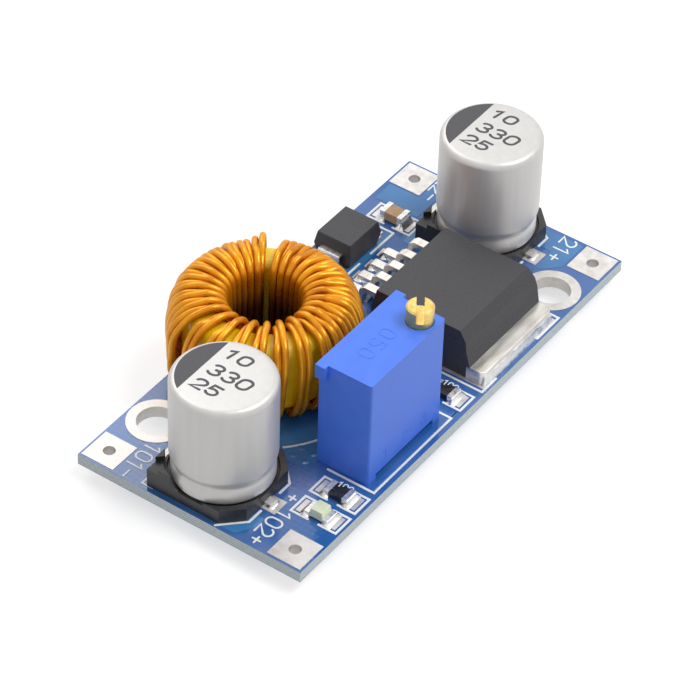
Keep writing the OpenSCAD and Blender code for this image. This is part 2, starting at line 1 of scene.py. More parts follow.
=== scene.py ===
import bmesh
import bpy
import numpy as np
from mathutils import Matrix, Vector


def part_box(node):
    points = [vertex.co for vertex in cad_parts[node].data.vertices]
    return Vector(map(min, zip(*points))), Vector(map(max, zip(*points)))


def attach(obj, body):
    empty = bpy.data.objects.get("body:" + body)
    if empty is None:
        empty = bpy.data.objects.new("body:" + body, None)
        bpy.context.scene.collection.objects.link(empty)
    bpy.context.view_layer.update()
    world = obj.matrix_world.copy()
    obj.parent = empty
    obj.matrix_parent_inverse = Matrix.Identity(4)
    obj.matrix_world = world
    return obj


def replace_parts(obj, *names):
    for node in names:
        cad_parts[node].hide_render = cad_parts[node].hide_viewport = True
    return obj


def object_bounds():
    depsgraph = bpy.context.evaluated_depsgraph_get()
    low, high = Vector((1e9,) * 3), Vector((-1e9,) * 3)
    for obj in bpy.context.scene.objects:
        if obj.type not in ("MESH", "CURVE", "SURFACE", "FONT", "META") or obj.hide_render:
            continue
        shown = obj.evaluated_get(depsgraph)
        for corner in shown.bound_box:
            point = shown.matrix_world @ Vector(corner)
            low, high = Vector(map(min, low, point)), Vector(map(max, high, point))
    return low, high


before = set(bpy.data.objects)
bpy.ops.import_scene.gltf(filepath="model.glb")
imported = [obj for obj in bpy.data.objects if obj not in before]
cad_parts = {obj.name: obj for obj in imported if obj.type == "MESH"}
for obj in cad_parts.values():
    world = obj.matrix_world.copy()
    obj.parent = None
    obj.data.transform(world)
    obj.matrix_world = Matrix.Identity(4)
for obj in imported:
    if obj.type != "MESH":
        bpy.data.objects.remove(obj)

cad_box = [list(map(float, corner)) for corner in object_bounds()]
MM = 0.001


# ---------------------------------------------------------------- camera
# A long lens above the output end and the trimmer's long edge, looking down on the board at
# about forty degrees. Lengths are metres in the frame of the board.

VIEW_RIGHT = (0.581042, -0.813419, 0.027188)
VIEW_UP = (0.535536, 0.407272, 0.739818)
VIEW_BACK = (-0.612855, -0.415305, 0.672257)
VIEW_FROM = (-0.181867, -0.122470, 0.200546)

camera_data = bpy.data.cameras.new("camera")
camera_data.sensor_width = 36.0
camera_data.lens = 195.83
camera_data.clip_start = 0.01
camera_data.clip_end = 20.0
camera = bpy.data.objects.new("camera", camera_data)
bpy.context.scene.collection.objects.link(camera)
turn = Matrix((VIEW_RIGHT, VIEW_UP, VIEW_BACK)).transposed().to_4x4()
camera.matrix_world = Matrix.Translation(VIEW_FROM) @ turn
bpy.context.scene.camera = camera


# ---------------------------------------------------------------- studio
# A white table top under the solder joints, and a white room. Two soft boxes light the parts
# from above the input end: the stronger one on the trimmer's side, the other on the inductor's.

def soft_box(name, place, aim, size, power):
    """A square area lamp at a place, turned towards a point, with its size in metres."""
    lamp = bpy.data.lights.new(name, "AREA")
    lamp.shape = "SQUARE"
    lamp.size = size
    lamp.energy = power
    holder = bpy.data.objects.new(name, lamp)
    bpy.context.scene.collection.objects.link(holder)
    back = (np.array(place, float) - aim) / np.linalg.norm(np.array(place, float) - aim)
    side = np.cross((0, 0, 1), back)
    side /= np.linalg.norm(side)
    holder.matrix_world = Matrix.Translation(place) @ Matrix(
        (side, np.cross(back, side), back)).transposed().to_4x4()


board_centre = np.array((0.0, 0.0, 0.004))
soft_box("key_box", (0.15, -0.22, 0.46), board_centre, 0.26, 1.45)
soft_box("fill_box", (0.16, 0.34, 0.40), board_centre, 0.36, 0.95)

world = bpy.data.worlds.new("white_room")
world.use_nodes = True
bpy.context.scene.world = world
room = world.node_tree
room_light = room.nodes["Background"]
room_light.inputs["Color"].default_value = (1, 1, 1, 1)
room_light.inputs["Strength"].default_value = 0.50
room_seen = room.nodes.new("ShaderNodeBackground")
room_seen.inputs["Color"].default_value = (1, 1, 1, 1)


def seen_rays(tree):
    """One where a ray from the camera, or a reflected or transmitted one, meets the surface."""
    path = tree.nodes.new("ShaderNodeLightPath")
    total = path.outputs["Is Camera Ray"]
    for ray in ("Is Glossy Ray", "Is Transmission Ray"):
        joined = tree.nodes.new("ShaderNodeMath")
        joined.operation = "MAXIMUM"
        tree.links.new(total, joined.inputs[0])
        tree.links.new(path.outputs[ray], joined.inputs[1])
        total = joined.outputs[0]
    return total


room_mix = room.nodes.new("ShaderNodeMixShader")
room.links.new(seen_rays(room), room_mix.inputs["Fac"])
room.links.new(room_light.outputs[0], room_mix.inputs[1])
room.links.new(room_seen.outputs[0], room_mix.inputs[2])
room.links.new(room_mix.outputs[0], room.nodes["World Output"].inputs["Surface"])

table = bpy.data.materials.new("white_table")
table.use_nodes = True
table_tree = table.node_tree
table_paint = table_tree.nodes["Principled BSDF"]
table_paint.inputs["Base Color"].default_value = (0.46, 0.46, 0.46, 1)
table_paint.inputs["Roughness"].default_value = 0.9
table_glow = table_tree.nodes.new("ShaderNodeEmission")
table_glow.inputs["Strength"].default_value = 0.62
table_dark = table_tree.nodes.new("ShaderNodeEmission")
table_dark.inputs["Strength"].default_value = 0.0
table_pick = table_tree.nodes.new("ShaderNodeMixShader")
table_sum = table_tree.nodes.new("ShaderNodeAddShader")
table_tree.links.new(seen_rays(table_tree), table_pick.inputs["Fac"])
table_tree.links.new(table_dark.outputs[0], table_pick.inputs[1])
table_tree.links.new(table_glow.outputs[0], table_pick.inputs[2])
table_tree.links.new(table_paint.outputs[0], table_sum.inputs[0])
table_tree.links.new(table_pick.outputs[0], table_sum.inputs[1])
table_tree.links.new(table_sum.outputs[0], table_tree.nodes["Material Output"].inputs["Surface"])

TABLE_HALF = 6.0
table_z = cad_box[0][2]
table_corners = [(x * TABLE_HALF, y * TABLE_HALF, table_z)
                 for x, y in ((-1, -1), (1, -1), (1, 1), (-1, 1))]
table_mesh = bpy.data.meshes.new("table_top")
table_mesh.from_pydata(table_corners, [], [(0, 1, 2, 3)])
table_top = bpy.data.objects.new("table_top", table_mesh)
table_mesh.materials.append(table)
bpy.context.scene.collection.objects.link(table_top)
bpy.context.scene.view_settings.view_transform = "Standard"


# ---------------------------------------------------------------- board laminate
# The board is glass cloth pressed in epoxy resin, sawn from a panel. Its sides are bare pale
# laminate, with the plies of cloth showing as thin lines.

def new_group(name, inputs, outputs):
    """An empty shader node group with named sockets, given as (name, kind, value)."""
    group = bpy.data.node_groups.new(name, "ShaderNodeTree")
    for label, kind, value in inputs:
        group.interface.new_socket(label, in_out="INPUT", socket_type=kind).default_value = value
    for label, kind in outputs:
        group.interface.new_socket(label, in_out="OUTPUT", socket_type=kind)
    return group, group.nodes.new("NodeGroupInput"), group.nodes.new("NodeGroupOutput")


COLOUR, NUMBER, VECTOR = "NodeSocketColor", "NodeSocketFloat", "NodeSocketVector"


def grain_group():
    """Cloudy variation: noise picks a colour, a roughness and a height between two given ends."""
    group, ins, outs = new_group(
        "cloudy_grain",
        [("Vector", VECTOR, (0, 0, 0)), ("Scale", NUMBER, 1000.0), ("Detail", NUMBER, 4.0),
         ("Contrast", NUMBER, 0.2), ("Dark", COLOUR, (0, 0, 0, 1)), ("Light", COLOUR, (1, 1, 1, 1)),
         ("Low roughness", NUMBER, 0.3), ("High roughness", NUMBER, 0.5)],
        [("Color", COLOUR), ("Roughness", NUMBER), ("Height", NUMBER)])
    noise = group.nodes.new("ShaderNodeTexNoise")
    spread = group.nodes.new("ShaderNodeMapRange")
    low = group.nodes.new("ShaderNodeMath")
    low.operation = "SUBTRACT"
    low.inputs[0].default_value = 0.5
    high = group.nodes.new("ShaderNodeMath")
    high.operation = "ADD"
    high.inputs[0].default_value = 0.5
    tint = group.nodes.new("ShaderNodeMix")
    tint.data_type = "RGBA"
    rough = group.nodes.new("ShaderNodeMapRange")
    link = group.links.new
    link(ins.outputs["Vector"], noise.inputs["Vector"])
    link(ins.outputs["Scale"], noise.inputs["Scale"])
    link(ins.outputs["Detail"], noise.inputs["Detail"])
    link(ins.outputs["Contrast"], low.inputs[1])
    link(ins.outputs["Contrast"], high.inputs[1])
    link(noise.outputs["Fac"], spread.inputs["Value"])
    link(low.outputs[0], spread.inputs["From Min"])
    link(high.outputs[0], spread.inputs["From Max"])
    link(spread.outputs[0], tint.inputs["Factor"])
    link(ins.outputs["Dark"], tint.inputs[6])
    link(ins.outputs["Light"], tint.inputs[7])
    link(spread.outputs[0], rough.inputs["Value"])
    link(ins.outputs["Low roughness"], rough.inputs["To Min"])
    link(ins.outputs["High roughness"], rough.inputs["To Max"])
    link(tint.outputs[2], outs.inputs["Color"])
    link(rough.outputs[0], outs.inputs["Roughness"])
    link(noise.outputs["Fac"], outs.inputs["Height"])
    return group


cloudy_grain = grain_group()


def grained(name, dark, light, scale, roughness, depth_mm=0.0, contrast=0.2, stretch=(1, 1, 1),
            metallic=0.0, detail=4.0, **sockets):
    """A material whose colour and roughness vary with noise in object space, scale in features
    per metre, and whose bump has a depth in millimetres. stretch scales the noise by axis."""
    material = bpy.data.materials.new(name)
    material.use_nodes = True
    tree = material.node_tree
    shader = tree.nodes["Principled BSDF"]
    shader.inputs["Metallic"].default_value = metallic
    for label, value in sockets.items():
        shader.inputs[label.replace("_", " ")].default_value = value
    place = tree.nodes.new("ShaderNodeTexCoord")
    mapping = tree.nodes.new("ShaderNodeMapping")
    mapping.inputs["Scale"].default_value = stretch
    grain = tree.nodes.new("ShaderNodeGroup")
    grain.node_tree = cloudy_grain
    grain.inputs["Scale"].default_value = scale
    grain.inputs["Detail"].default_value = detail
    grain.inputs["Contrast"].default_value = contrast
    grain.inputs["Dark"].default_value = (*dark, 1)
    grain.inputs["Light"].default_value = (*light, 1)
    grain.inputs["Low roughness"].default_value = roughness[0]
    grain.inputs["High roughness"].default_value = roughness[1]
    tree.links.new(place.outputs["Object"], mapping.inputs["Vector"])
    tree.links.new(mapping.outputs[0], grain.inputs["Vector"])
    tree.links.new(grain.outputs["Color"], shader.inputs["Base Color"])
    tree.links.new(grain.outputs["Roughness"], shader.inputs["Roughness"])
    if depth_mm:
        bump = tree.nodes.new("ShaderNodeBump")
        bump.inputs["Distance"].default_value = depth_mm * MM
        tree.links.new(grain.outputs["Height"], bump.inputs["Height"])
        tree.links.new(bump.outputs[0], shader.inputs["Normal"])
    return material


def dress(node, material):
    """Gives a CAD node a finished material in place of its plain one."""
    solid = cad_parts[node]
    if not solid.material_slots:
        solid.data.materials.append(material)
    for mesh_slot in solid.material_slots:
        mesh_slot.material = material


def layered(material, axis, scale, dark, strength):
    """Adds thin darker lines square to one axis to a grained material, as plies on a cut edge."""
    tree = material.node_tree
    shader = tree.nodes["Principled BSDF"]
    place = tree.nodes.new("ShaderNodeTexCoord")
    lines = tree.nodes.new("ShaderNodeTexWave")
    lines.bands_direction = axis
    lines.inputs["Scale"].default_value = scale
    lines.inputs["Distortion"].default_value = 1.5
    lines.inputs["Detail"].default_value = 3.0
    tint = tree.nodes.new("ShaderNodeMix")
    tint.data_type = "RGBA"
    amount = tree.nodes.new("ShaderNodeMath")
    amount.operation = "MULTIPLY"
    amount.inputs[1].default_value = strength
    old = shader.inputs["Base Color"].links[0].from_socket
    tree.links.new(place.outputs["Object"], lines.inputs["Vector"])
    tree.links.new(lines.outputs["Fac"], amount.inputs[0])
    tree.links.new(amount.outputs[0], tint.inputs["Factor"])
    tree.links.new(old, tint.inputs[6])
    tint.inputs[7].default_value = (*dark, 1)
    tree.links.new(tint.outputs[2], shader.inputs["Base Color"])
    return material


laminate = layered(
    grained("sawn_laminate", (0.54, 0.62, 0.66), (0.78, 0.84, 0.86), 2600.0, (0.45, 0.7), 0.02,
            stretch=(1, 1, 3)),
    "Z", 1400.0, (0.30, 0.40, 0.45), 0.45)
dress("board_laminate", laminate)


# ---------------------------------------------------------------- solder mask
# Blue epoxy ink, printed over the copper on both sides and cured to a gloss. It looks lighter
# where copper lies under it, and the glass cloth shows through very faintly.

def rides(piece, body="board"):
    """Puts a new piece on a body."""
    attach(piece, body)
    return piece


def built(name, points, faces, material, body="board", smooth=None):
    """A piece from points in metres and faces; smooth is the angle in degrees that stays sharp."""
    mesh = bpy.data.meshes.new(name)
    mesh.from_pydata(np.asarray(points, float).tolist(), [], [list(map(int, f)) for f in faces])
    mesh.materials.append(material)
    if smooth is not None:
        mesh.shade_smooth()
        mesh.set_sharp_from_angle(angle=np.radians(smooth))
    piece = bpy.data.objects.new(name, mesh)
    bpy.context.scene.collection.objects.link(piece)
    return rides(piece, body)


def mask_finish():
    """Glossy blue ink: two tones in large soft patches, with a woven bump of crossed waves."""
    ink = grained("blue_mask", (0.018, 0.115, 0.37), (0.058, 0.150, 0.42), 150.0, (0.12, 0.2),
                  contrast=0.1, detail=2.0, Coat_Weight=0.4, Coat_Roughness=0.06,
                  Specular_IOR_Level=0.6)
    tree = ink.node_tree
    place = tree.nodes.new("ShaderNodeTexCoord")
    weave = tree.nodes.new("ShaderNodeMath")
    weave.operation = "ADD"
    for i, direction in enumerate("XY"):
        threads = tree.nodes.new("ShaderNodeTexWave")
        threads.bands_direction = direction
        threads.inputs["Scale"].default_value = 620.0
        threads.inputs["Distortion"].default_value = 0.8
        tree.links.new(place.outputs["Object"], threads.inputs["Vector"])
        tree.links.new(threads.outputs["Fac"], weave.inputs[i])
    bump = tree.nodes.new("ShaderNodeBump")
    bump.inputs["Distance"].default_value = 0.0016 * MM
    tree.links.new(weave.outputs[0], bump.inputs["Height"])
    tree.links.new(bump.outputs[0], tree.nodes["Principled BSDF"].inputs["Normal"])
    return ink


blue_mask = mask_finish()
dress("solder_mask_top", blue_mask)
dress("solder_mask_bottom", blue_mask)

top_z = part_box("solder_mask_top")[1].z / MM
copper_mask = grained("blue_mask_on_copper", (0.028, 0.165, 0.43), (0.052, 0.225, 0.50), 220.0,
                      (0.12, 0.22), 0.002, contrast=0.14, Coat_Weight=0.4, Coat_Roughness=0.06,
                      Specular_IOR_Level=0.6)


def slabs(name, outlines, low, high, material, corner=0.0):
    """Flat plates: each outline in millimetres is a prism between two heights, with its upright
    edges rounded by the corner radius. The rounding is an arc between the two sides' tangents."""
    points, faces = [], []
    for outline in outlines:
        p = np.array(outline, float)
        if corner:
            before, after = np.roll(p, 1, 0) - p, np.roll(p, -1, 0) - p
            before /= np.linalg.norm(before, axis=1)[:, None]
            after /= np.linalg.norm(after, axis=1)[:, None]
            t = np.linspace(0, 1, 5)[None, :, None]
            a, b = p + before * corner, p + after * corner
            p = ((1 - t) ** 2 * a[:, None] + 2 * t * (1 - t) * p[:, None] + t ** 2 * b[:, None]
                 ).reshape(-1, 2)
        area = np.sum(p[:, 0] * np.roll(p[:, 1], -1) - p[:, 1] * np.roll(p[:, 0], -1))
        p = p if area > 0 else p[::-1]
        n, start = len(p), len(points)
        points += [(x, y, low) for x, y in p] + [(x, y, high) for x, y in p]
        k = np.arange(n)
        faces.append(list(start + n + k))
        faces.append(list(start + k[::-1]))
        faces += np.stack([start + k, start + (k + 1) % n, start + n + (k + 1) % n,
                           start + n + k], 1).tolist()
    return built(name, np.array(points) * MM, faces, material)


# Heights in millimetres: of the copper's relief in the mask, and how deep what lies on a surface
# reaches into it
RELIEF, SUNK = 0.022, 0.002
top_copper = [
    [(-21.55, 4.0), (-21.55, -4.1), (-20.0, -5.0), (-19.0, -5.0), (-19.0, 5.0), (-20.0, 5.3)],
    [(-12.0, -10.0), (-12.0, -9.65), (-0.8, -9.65), (-0.8, -10.0)],
    [(-12.9, -4.55), (-12.9, 3.9), (-8.0, 3.9), (-4.2, 1.6), (0.6, -1.2), (0.6, -3.9)],
    [(2.3, -2.1), (2.3, 5.4), (3.3, 5.4), (3.3, -2.1)],
    [(13.2, -4.4), (13.2, 5.0), (16.4, 5.0), (16.4, 2.4), (15.0, 2.4), (15.0, -4.4)],
    [(14.2, -5.3), (17.0, -5.3), (17.1, -5.8), (18.4, -7.0), (21.5, -7.0), (21.5, -5.0),
     (21.5, 4.8), (19.4, 4.8), (19.4, -5.3)],
    [(5.4, 9.95), (5.4, 5.9), (13.6, 5.9), (13.6, 9.95), (13.3, 9.95), (13.3, 6.6),
     (6.3, 6.6), (6.3, 9.95)],
    [(16.3, 9.95), (16.3, 5.75), (21.5, 5.75), (21.5, 7.0), (18.5, 7.0), (18.5, 9.95)]]
slabs("copper_under_top_mask", top_copper, top_z - SUNK, top_z + RELIEF, copper_mask,
      0.22)

bottom_copper = [
    [(-21.5, 5.0), (-21.5, -5.6), (-18.2, -5.6), (-18.2, -9.9), (-11.6, -9.9), (-11.6, -4.6),
     (1.0, -4.6), (1.0, 4.2), (-2.6, 9.9), (-12.6, 9.9), (-12.6, 5.0)],
    [(3.8, 9.9), (3.8, -9.9), (12.3, -9.9), (12.3, -5.0), (15.4, -4.8), (18.4, -6.6),
     (21.5, -6.6), (21.5, 6.6), (18.2, 6.6), (18.2, 9.9)]]
slabs("copper_under_bottom_mask", bottom_copper, -RELIEF, SUNK, copper_mask, 0.3)


def domes(name, centres, radius, height, z, up, material, rings=4, around=14):
    """Low round bumps: each is a cap whose height falls with the square of the distance out."""
    t = np.linspace(0, 1, rings + 1)[1:]
    angles = np.arange(around) * 2 * np.pi / around
    out_x = np.concatenate([[0], (t[:, None] * np.cos(angles)).ravel()]) * radius
    out_y = np.concatenate([[0], (t[:, None] * np.sin(angles)).ravel()]) * radius
    rise = np.concatenate([[1], np.repeat(1 - t ** 2, around)]) * height
    points, faces = [], []
    k = np.arange(around)
    for x, y in centres:
        s = len(points)
        points += np.stack([x + out_x, y + out_y * up, z + rise * up], 1).tolist()
        faces += [[s, s + 1 + i, s + 1 + (i + 1) % around] for i in k]
        for r in range(rings - 1):
            a = s + 1 + r * around
            faces += np.stack([a + k, a + around + k, a + around + (k + 1) % around,
                               a + (k + 1) % around], 1).tolist()
        a = s + 1 + (rings - 1) * around
        faces.append((a + k[::-1]).tolist())
    return built(name, np.array(points) * MM, faces, material, smooth=50)


via_places = [(x, y) for x in (14.0, 14.6) for y in (-3.6, -2.4, -1.2, 0.0, 1.2, 2.4, 3.6)]
via_places += [(-12.2, y) for y in (-3.8, -2.6, -1.4)] + [(-11.2, -3.8), (-11.2, -2.6)]
via_places += [(2.8, y) for y in (-0.9, 0.6, 2.1, 3.6)]
TENT_R, TENT_TALL = 0.3, 0.035
domes("tented_holes_top", via_places, TENT_R, TENT_TALL, top_z + RELIEF, 1, copper_mask)
domes("tented_holes_bottom", via_places, TENT_R, TENT_TALL, -RELIEF, -1, copper_mask)


# ---------------------------------------------------------------- plated lands and holes
# Copper lands left bare in the mask, dipped in tin. The tin is pale and satin, and lies a
# little unevenly. The hole linings are the same metal.

tinned = grained("tinned_copper", (0.60, 0.57, 0.54), (0.78, 0.755, 0.73), 1500.0, (0.32, 0.5),
                 0.006, contrast=0.22, metallic=0.55)
for name in ("output_minus_terminal", "output_plus_terminal", "input_minus_terminal",
             "input_plus_terminal", "output_mounting_ring", "input_mounting_ring",
             "component_lands", "pin_barrels"):
    dress(name, tinned)


# ---------------------------------------------------------------- printed legend
# White ink laid over the mask through a screen: outlines round the parts, polarity signs and
# plain terminal numbers. Each line is a thin raised strip with round ends.

# Thickness of the ink over the copper's relief, and the step in height that keeps strokes apart
INK_TALL, INK_STEP = 0.016, 0.003


def ribbon(path, width, low, high):
    """A strip along a path in millimetres, between two heights. Each side of the strip is the
    path moved by half the width along its normal, with a half round at both ends. The top falls
    by two ink steps along the path, so that a loop's end slips under its start."""
    p = np.array(path, float)
    step = np.diff(p, axis=0)
    step /= np.linalg.norm(step, axis=1)[:, None]
    d = np.concatenate([step[:1], step[:-1] + step[1:], step[-1:]])
    d /= np.linalg.norm(d, axis=1)[:, None]
    normal = np.stack([-d[:, 1], d[:, 0]], 1)
    lean = np.concatenate([step[:1], step])
    widen = 1 / np.clip(np.sum(normal * np.stack([-lean[:, 1], lean[:, 0]], 1), 1), 0.6, 1)
    half = width / 2
    angles = np.radians(np.linspace(90, 270, 7)[1:-1])[:, None]

    def end(at, along, across):
        return at + half * (along * np.cos(angles) + across * np.sin(angles))

    left = p + normal * half * widen[:, None]
    right = p - normal * half * widen[:, None]
    last = end(p[-1], -d[-1], normal[-1])
    first = end(p[0], d[0], -normal[0])
    outline = np.concatenate([left, last, right[::-1], first])
    n = len(outline)
    fall = np.concatenate([np.linspace(0, 1, len(p)), np.ones(len(last)),
                           np.linspace(1, 0, len(p)), np.zeros(len(first))])
    points = np.concatenate([np.c_[outline, np.full(n, low)],
                             np.c_[outline, high - INK_STEP * 2 * fall]])
    k = np.arange(n)
    walls = np.stack([k, k + n, (k + 1) % n + n, (k + 1) % n], 1).tolist()
    m = len(p)
    lefts, rights = np.arange(m), m + len(last) + np.arange(m)[::-1]
    tops = [[lefts[i] + n, rights[i] + n, rights[i + 1] + n, lefts[i + 1] + n]
            for i in range(m - 1)]
    caps = [[m - 1] + list(range(m, m + len(last))) + [m + len(last)],
            [n - len(first) - 1] + list(range(n - len(first), n)) + [0]]
    tops += [[i + n for i in c[::-1]] for c in caps]
    return points, walls + tops + [[i % n for i in f[::-1]] for f in tops]


def drawn(name, strokes, width, low, high, material, place=None):
    """Joins the strips of many strokes into one piece; place turns flat points into space."""
    points, faces = np.zeros((0, 3)), []
    for i, stroke in enumerate(strokes):
        p, f = ribbon(stroke, width, low, high - INK_STEP * (i % 3))
        faces += [[k + len(points) for k in face] for face in f]
        points = np.concatenate([points, p])
    if place:
        points = place(points)
    return built(name, points * MM, faces, material)


def sweep(cx, cy, rx, ry, start, stop, steps=14):
    """Points of an elliptic arc between two angles in degrees."""
    a = np.radians(np.linspace(start, stop, steps))
    return np.stack([cx + rx * np.cos(a), cy + ry * np.sin(a)], 1)


# Strokes of the figures in a box one high and 0.62 wide, with the origin at the lower left.
FIGURES = {
    "0": [np.concatenate([sweep(0.31, 0.69, 0.31, 0.31, 0, 180, 9),
                          sweep(0.31, 0.31, 0.31, 0.31, 180, 360, 9), [(0.62, 0.69)]])],
    "1": [[(0.10, 0.78), (0.36, 1.0), (0.36, 0.5), (0.36, 0.0)]],
    "2": [np.concatenate([sweep(0.31, 0.70, 0.31, 0.30, 165, -35, 10), [(0.0, 0.0), (0.62, 0.0)]])],
    "3": [sweep(0.29, 0.75, 0.29, 0.25, 150, -90, 10), sweep(0.31, 0.26, 0.31, 0.26, 92, -150, 10)],
    "5": [np.concatenate([[(0.58, 1.0), (0.08, 1.0), (0.04, 0.55)],
                          sweep(0.30, 0.32, 0.31, 0.32, 125, -150, 11)])],
    "+": [[(0.31, 0.26), (0.31, 0.5), (0.31, 0.78)], [(0.05, 0.52), (0.31, 0.52), (0.57, 0.52)]],
    "-": [[(0.03, 0.52), (0.31, 0.52), (0.59, 0.52)]]}


def written(text, at, height, right, pitch=0.95, slant=0.0, wide=1.0):
    """Strokes of a line of figures. right is the reading direction as a unit vector in the
    plane, and the figures' tops point a quarter turn to the left of it."""
    u = np.array(right, float)
    v = np.array((-u[1], u[0]))
    strokes = []
    for i, figure in enumerate(text):
        for stroke in FIGURES[figure]:
            s = np.array(stroke, float)
            x = (s[:, 0] * wide + slant * s[:, 1] + i * pitch) * height
            strokes.append(np.array(at) + x[:, None] * u + (s[:, 1] * height)[:, None] * v)
    return strokes


def bracket(cx, cy, w, h, gap):
    """Outline of a chip in two halves along Y, open at the middle of both long sides."""
    x, y = w / 2, h / 2
    return [np.array([(cx - x, cy + s * gap), (cx - x, cy + s * y), (cx + x, cy + s * y),
                      (cx + x, cy + s * gap)]) for s in (1, -1)]


white_ink = grained("white_legend", (0.80, 0.82, 0.84), (0.93, 0.94, 0.95), 4200.0, (0.5, 0.7),
                    0.004, contrast=0.3)
chip_at = {name: (np.array(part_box(name)[0]) + np.array(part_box(name)[1]))[:2] / 2 / MM
           for name in ("ceramic_capacitor_body", "led_resistor_body", "indicator_led_base",
                        "feedback_resistor_body", "diode_body", "inductor_core",
                        "output_capacitor_can", "input_capacitor_can", "trimmer_housing")}
outlines = []
for name in ("led_resistor_body", "indicator_led_base", "feedback_resistor_body"):
    outlines += bracket(*chip_at[name], 1.9, 4.1, 0.5)
outlines += bracket(*chip_at["ceramic_capacitor_body"], 1.95, 4.1, 0.45)
tx, ty = chip_at["trimmer_housing"]
outlines.append([(tx - 5.15, ty + 1.0), (tx - 5.15, ty - 3.25), (tx + 5.1, ty - 3.25),
                 (tx + 5.1, ty + 1.75), (tx + 3.6, ty + 1.75)])
ring_x, ring_y = chip_at["inductor_core"]
RING_MARK = 9.1
outlines.append(sweep(ring_x, ring_y, RING_MARK, RING_MARK, -70, -19, 22))
outlines.append(sweep(ring_x, ring_y, RING_MARK, RING_MARK, 205, 285, 34))
outlines.append(sweep(ring_x, ring_y, RING_MARK / 2, RING_MARK / 2, 0, 360, 49))
dx, dy = chip_at["diode_body"]
outlines.append([(dx - 3.7, dy - 1.0), (dx - 3.7, dy - 1.9), (dx - 1.0, dy - 1.9)])
outlines.append([(dx + 0.6, dy - 1.9), (dx + 3.75, dy - 1.9), (dx + 3.75, dy - 0.55)])
outlines.append([(dx + 3.75, dy + 0.6), (dx + 3.75, dy + 1.95), (dx + 1.2, dy + 1.95)])
outlines.append([(dx - 3.7, dy + 0.8), (dx - 3.7, dy + 1.95), (dx - 2.4, dy + 1.95)])
outlines.append([(2.25, -6.2), (2.25, -10.12), (4.2, -10.12)])
outlines.append([(10.0, -10.12), (13.05, -10.12), (13.05, -6.6)])
for name in ("output_capacitor_can", "input_capacitor_can"):
    cx, cy = chip_at[name]
    outlines.append([(cx - 4.35, cy - 2.5), (cx - 2.55, cy - 4.3), (cx - 1.1, cy - 4.3)])
    outlines.append([(min(cx + 4.35, 21.6), cy - 2.5), (cx + 2.55, cy - 4.3),
                     (cx + 1.3, cy - 4.3)])
outlines += [[(-21.45, 4.6), (-21.45, 3.7), (-20.9, 4.6), (-21.45, 4.6)]]
numbers = []
for text, at, height in (("101-", (-17.6, 6.9), 1.35), ("102+", (-17.35, -5.1), 1.35),
                         ("+", (-15.6, -4.75), 1.15), ("+", (16.2, -4.75), 1.15),
                         ("21+", (21.6, -5.1), 1.35), ("22-", (21.6, 7.0), 1.3)):
    numbers += written(text, at, height, (-1, 0), 0.82)
ink_low, ink_high = top_z - SUNK, top_z + RELIEF + INK_TALL
drawn("legend_outlines", outlines, 0.2, ink_low, ink_high, white_ink)
drawn("legend_numbers", numbers, 0.155, ink_low, ink_high, white_ink)


# ---------------------------------------------------------------- electrolytic capacitors
# Each is a can drawn from aluminium sheet and crimped over a rubber bung, standing on a moulded
# plastic foot. The top carries a printed dark segment at the negative lead and plain figures.

def sector(cx, cy, r, start, stop, steps):
    """Points of a circular arc between two angles in degrees, for a profile."""
    return sweep(cx, cy, r, r, start, stop, steps)


def turned(name, profile, centres, material, segments=96, smooth=38, place=None):
    """A solid of revolution about upright axes: the profile of radius and height in millimetres
    is carried round each centre. A profile that starts on the axis is closed at its poles, and
    one that doesn't is a ring closed on itself. place moves the finished points."""
    profile = np.array(profile, float)
    poles = profile[0, 0] < 1e-9
    lanes = profile[1:-1] if poles else profile
    angles = np.arange(segments) * 2 * np.pi / segments
    count, points, faces = len(lanes), [], []
    for cx, cy in centres:
        s = len(points)
        points += np.stack([cx + np.outer(lanes[:, 0], np.cos(angles)),
                            cy + np.outer(lanes[:, 0], np.sin(angles)),
                            np.repeat(lanes[:, 1:], segments, 1)], 2).reshape(-1, 3).tolist()
        i, k = np.meshgrid(np.arange(count - 1 if poles else count), np.arange(segments),
                           indexing="ij")
        j, m = (i + 1) % count, (k + 1) % segments
        faces += (s + np.stack([i * segments + k, i * segments + m, j * segments + m,
                                j * segments + k], -1)).reshape(-1, 4).tolist()
        if poles:
            e, k = len(points), np.arange(segments)
            points += [(cx, cy, profile[0, 1]), (cx, cy, profile[-1, 1])]
            faces += np.stack([np.full(segments, e), s + (k + 1) % segments, s + k], 1).tolist()
            t = s + (count - 1) * segments
            faces += np.stack([np.full(segments, e + 1), t + k, t + (k + 1) % segments],
                              1).tolist()
    points = np.array(points)
    return built(name, (place(points) if place else points) * MM, faces, material,
                 smooth=smooth)


# Height of the mask's top, on which the parts stand
MASK_TALL = 0.03
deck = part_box("board_laminate")[1].z / MM + MASK_TALL
can_metal = grained("drawn_aluminium", (0.600, 0.585, 0.570), (0.660, 0.645, 0.630), 1500.0,
                    (0.36, 0.46), 0.0008, contrast=0.3, stretch=(1, 1, 0.06), metallic=0.4)
CAN_R, CAN_TOP, CAN_EDGE = 4.15, 10.45, 0.55
can_profile = np.concatenate([
    [(0, 1.0), (3.4, 1.0)], sector(3.65, 1.35, 0.35, -90, 0, 8), [(4.0, 2.05)],
    sector(CAN_R + 0.18, 2.55, 0.5, 205, 155, 9), [(4.05, 3.1), (4.12, 3.25), (CAN_R, 3.45)],
    [(CAN_R, z) for z in (5.0, 6.6, 8.2)],
    sector(CAN_R - CAN_EDGE, CAN_TOP - CAN_EDGE, CAN_EDGE, 0, 90, 10),
    [(2.4, CAN_TOP), (1.2, CAN_TOP), (0, CAN_TOP)]]) + (0, deck)
for side in ("output", "input"):
    can = turned(side + "_can_drawn", can_profile, [chip_at[side + "_capacitor_can"]], can_metal,
                 128)
    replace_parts(can, side + "_capacitor_can")

